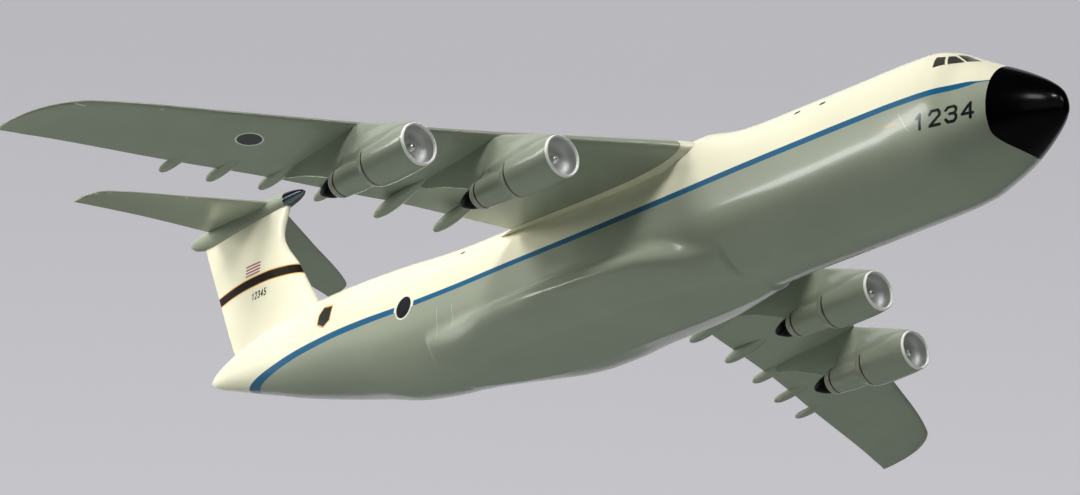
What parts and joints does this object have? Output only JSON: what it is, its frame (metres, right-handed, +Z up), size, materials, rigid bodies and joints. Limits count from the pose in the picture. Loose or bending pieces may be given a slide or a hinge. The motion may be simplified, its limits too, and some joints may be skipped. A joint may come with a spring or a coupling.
{
  "type": "desk display model of a military transport plane",
  "caption": "Gloss desk model of a high-wing T-tailed transport plane, wheels up, with pylon-hung engines, open inlets and flap track fairings; it rests on its flat belly.",
  "frame": {"origin": "on the flat belly that the model rests on, under the middle of its length and span", "axes": "+X towards the nose, +Y towards the left wing tip, +Z up"},
  "size_m": [0.751, 0.68, 0.1834],
  "materials": {
    "upper_paint": "gloss cream-white lacquer over moulded fibreglass",
    "lower_paint": "gloss grey-green lacquer",
    "gloss_black": "high gloss black lacquer",
    "turned_metal": "bare lathe-turned metal with a polished lip",
    "dark_metal": "dark metallic lacquer"
  },
  "bodies": {
    "root": {"fuselage": "upper_paint", "radome": "gloss_black", "wing_fairing": "upper_paint", "wing_left": "lower_paint", "wing_right": "lower_paint", "fin": "upper_paint", "tailplane_left": "lower_paint", "tailplane_right": "lower_paint", "bullet_fairing": "lower_paint", "bullet_tip": "dark_metal", "nacelle_inboard_left": "lower_paint", "inlet_inboard_left": "turned_metal", "spinner_inboard_left": "turned_metal", "core_inboard_left": "lower_paint", "exhaust_plug_inboard_left": "gloss_black", "pylon_inboard_left": "lower_paint", "nacelle_inboard_right": "lower_paint", "inlet_inboard_right": "turned_metal", "spinner_inboard_right": "turned_metal", "core_inboard_right": "lower_paint", "exhaust_plug_inboard_right": "gloss_black", "pylon_inboard_right": "lower_paint", "nacelle_outboard_left": "lower_paint", "inlet_outboard_left": "turned_metal", "spinner_outboard_left": "turned_metal", "core_outboard_left": "lower_paint", "exhaust_plug_outboard_left": "gloss_black", "pylon_outboard_left": "lower_paint", "nacelle_outboard_right": "lower_paint", "inlet_outboard_right": "turned_metal", "spinner_outboard_right": "turned_metal", "core_outboard_right": "lower_paint", "exhaust_plug_outboard_right": "gloss_black", "pylon_outboard_right": "lower_paint", "flap_track_left_1": "lower_paint", "flap_track_left_2": "lower_paint", "flap_track_left_3": "lower_paint", "flap_track_left_4": "lower_paint", "flap_track_left_5": "lower_paint", "flap_track_left_6": "lower_paint", "flap_track_right_1": "lower_paint", "flap_track_right_2": "lower_paint", "flap_track_right_3": "lower_paint", "flap_track_right_4": "lower_paint", "flap_track_right_5": "lower_paint", "flap_track_right_6": "lower_paint"}
  },
  "joints": []
}
